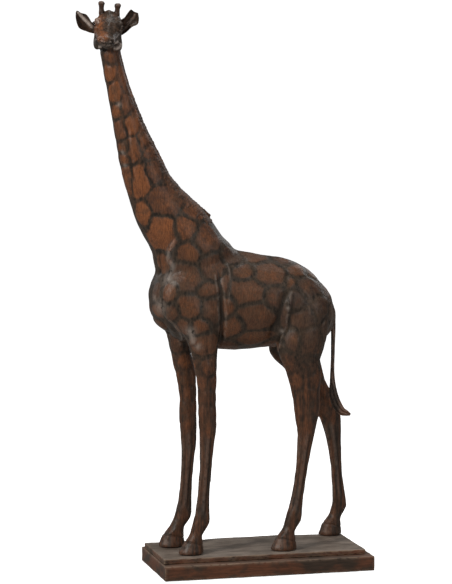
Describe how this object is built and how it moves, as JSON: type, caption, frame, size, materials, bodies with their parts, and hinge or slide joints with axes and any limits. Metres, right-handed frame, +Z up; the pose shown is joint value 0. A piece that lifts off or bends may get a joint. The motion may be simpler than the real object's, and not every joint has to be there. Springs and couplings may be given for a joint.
{
  "type": "carved giraffe statue",
  "caption": "Standing giraffe statue with its head turned to its left, carved in dark stained wood with raised coat patches, dowelled together and screwed to a stepped rectangular plinth.",
  "frame": {"origin": "centre of the plinth's underside, on the felt", "axes": "+Z up, the animal's body faces -Y, the animal's left side is +X"},
  "size_m": [0.172, 0.4718, 0.92],
  "materials": {
    "stained_carved_wood": "reddish-brown stain in raised patches parted by darker lines, satin wax, rubbed light on ridges",
    "dark_stained_wood": "near-black brown stain, satin",
    "plinth_wood": "dark brown stain, satin, edges rubbed lighter",
    "dowel_beech": "bare beech",
    "zinc_steel": "zinc plated",
    "black_felt": "matt felt"
  },
  "bodies": {
    "root": {"base_felt": "black_felt", "deck_screw_front_left": "zinc_steel", "deck_screw_front_right": "zinc_steel", "deck_screw_rear_left": "zinc_steel", "deck_screw_rear_right": "zinc_steel", "ear_left": "stained_carved_wood", "ear_right": "stained_carved_wood", "front_left_leg": "stained_carved_wood", "front_right_leg": "stained_carved_wood", "head": "stained_carved_wood", "head_dowel": "dowel_beech", "hind_left_leg": "stained_carved_wood", "hind_right_leg": "stained_carved_wood", "hoof_screw_front_left": "zinc_steel", "hoof_screw_front_right": "zinc_steel", "hoof_screw_hind_left": "zinc_steel", "hoof_screw_hind_right": "zinc_steel", "hoof_washer_front_left": "zinc_steel", "hoof_washer_front_right": "zinc_steel", "hoof_washer_hind_left": "zinc_steel", "hoof_washer_hind_right": "zinc_steel", "horn_left": "stained_carved_wood", "horn_right": "stained_carved_wood", "leg_dowel_front_left": "dowel_beech", "leg_dowel_front_right": "dowel_beech", "leg_dowel_hind_left": "dowel_beech", "leg_dowel_hind_right": "dowel_beech", "mane": "dark_stained_wood", "neck": "stained_carved_wood", "neck_dowel_front": "dowel_beech", "neck_dowel_rear": "dowel_beech", "plinth_deck": "plinth_wood", "plinth_slab": "plinth_wood", "tail": "stained_carved_wood", "torso": "stained_carved_wood"}
  },
  "joints": []
}
